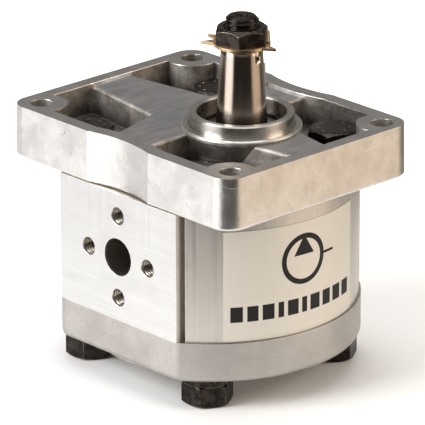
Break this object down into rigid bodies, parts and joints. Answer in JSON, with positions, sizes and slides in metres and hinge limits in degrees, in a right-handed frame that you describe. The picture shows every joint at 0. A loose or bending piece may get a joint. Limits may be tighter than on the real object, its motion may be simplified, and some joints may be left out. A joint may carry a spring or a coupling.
{
  "type": "hydraulic gear pump",
  "caption": "External gear hydraulic pump with a cast mounting flange, round pilot, tapered keyed drive shaft and flanged side ports.",
  "frame": {"origin": "on the drive shaft's axis, at the mounting face of the front flange", "axes": "+Z along the drive shaft, out of the pump; +X from the driven gear towards the drive gear; -Y out of the port that faces the viewer"},
  "size_m": [0.1122, 0.0882, 0.1292],
  "materials": {
    "cast_flange": "die-cast, blasted sides, milled top face",
    "extruded_body": "extruded bar, milled port pads",
    "cast_cover": "cast and fine-blasted",
    "black_steel": "black oxide, lightly oiled",
    "plain_steel": "plain bright",
    "ground_steel": "hardened and ground",
    "spring_steel": "phosphated spring steel",
    "zinc_steel": "yellow zinc plate",
    "block_alloy": "turned alloy",
    "bush_bronze": "bronze-lined bush",
    "seal_rubber": "moulded nitrile",
    "lip_rubber": "moulded nitrile",
    "backup_nylon": "moulded",
    "seal_case_steel": "rubber-coated pressed steel",
    "label_film": "satin polyester film with black print"
  },
  "bodies": {
    "pump_body": {"clamp_bolts": "black_steel", "clamp_nuts": "black_steel", "data_label": "label_film", "front_backup_ring": "backup_nylon", "front_balance_seal": "seal_rubber", "front_bearing_block": "block_alloy", "front_body_seal": "seal_rubber", "front_dowels": "plain_steel", "front_drive_bush": "bush_bronze", "front_driven_bush": "bush_bronze", "front_flange": "cast_flange", "gear_housing": "extruded_body", "rear_backup_ring": "backup_nylon", "rear_balance_seal": "seal_rubber", "rear_bearing_block": "block_alloy", "rear_body_seal": "seal_rubber", "rear_cover": "cast_cover", "rear_dowels": "plain_steel", "rear_drive_bush": "bush_bronze", "rear_driven_bush": "bush_bronze", "seal_snap_ring": "spring_steel", "shaft_seal_case": "seal_case_steel", "shaft_seal_lip": "lip_rubber", "shaft_seal_spring": "spring_steel", "spring_washers": "black_steel"},
    "drive_train": {"drive_gear_shaft": "ground_steel", "shaft_nut": "black_steel", "tab_washer": "zinc_steel", "woodruff_key": "plain_steel"},
    "driven_gear": {"driven_gear_shaft": "ground_steel"}
  },
  "joints": [
    {"name": "drive_spin", "type": "hinge", "parent": "pump_body", "child": "drive_train", "pos_m": [0, 0, 0], "axis": [0, 0, 1], "continuous": true},
    {"name": "driven_spin", "type": "hinge", "parent": "pump_body", "child": "driven_gear", "pos_m": [-0.031, 0, 0], "axis": [0, 0, 1], "continuous": true}
  ],
  "couplings": [
    {"joint": "driven_spin", "follows": "drive_spin", "ratio": -1}
  ]
}
